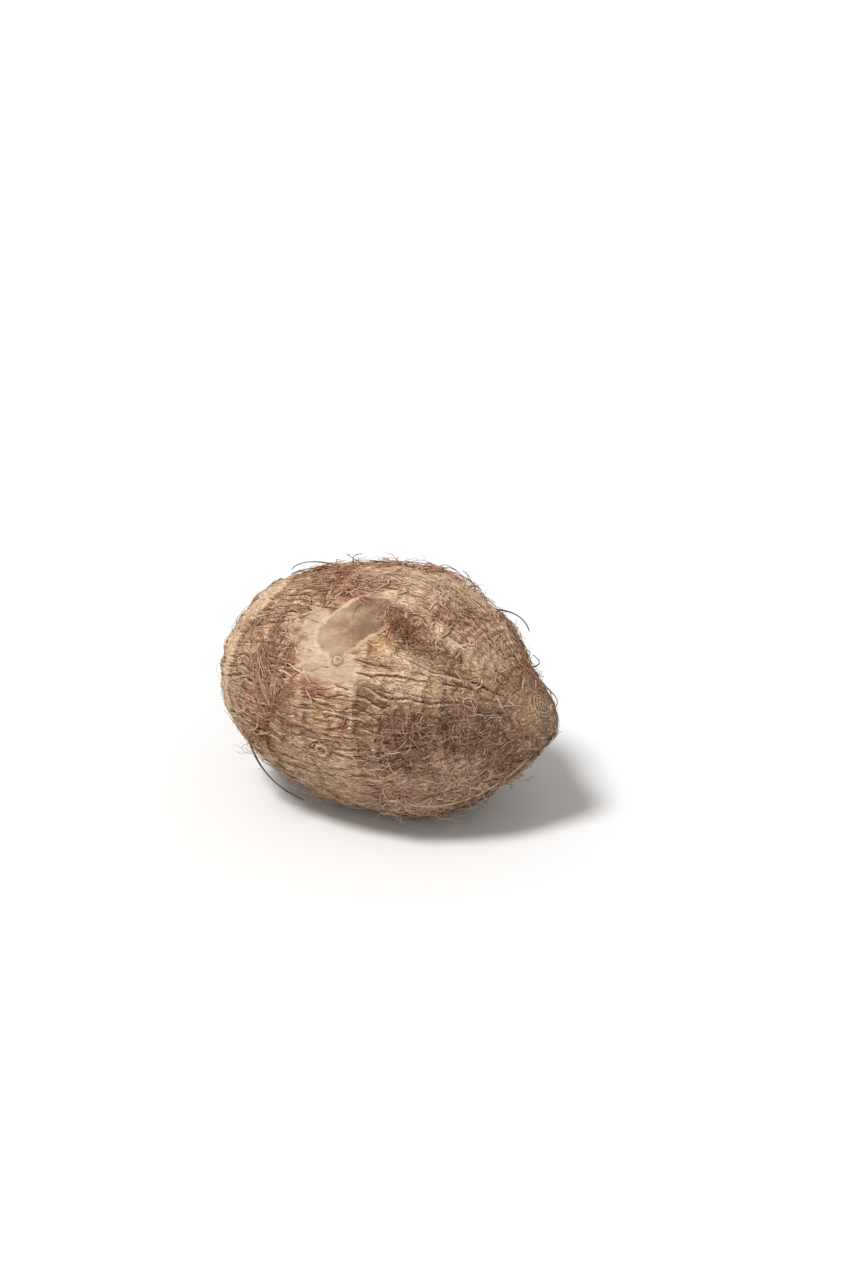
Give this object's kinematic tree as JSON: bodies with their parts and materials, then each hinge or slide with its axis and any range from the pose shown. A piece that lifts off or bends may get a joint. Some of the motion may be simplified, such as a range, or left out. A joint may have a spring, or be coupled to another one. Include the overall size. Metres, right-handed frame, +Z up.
{
  "type": "taro root",
  "caption": "Whole egg-shaped taro root lying on its side, with ringed and fissured brown bark, a smooth shoot scar, bud eyes and wiry rootlets.",
  "frame": {"origin": "middle of the root's outline, on the surface that it lies on", "axes": "+X from the butt to the growing tip, +Z up, -Y towards the side with the smooth scar"},
  "size_m": [0.1176, 0.0848, 0.0808],
  "materials": {
    "bark": "dry, fibrous, matt"
  },
  "bodies": {
    "root": {"corm": "bark"}
  },
  "joints": []
}
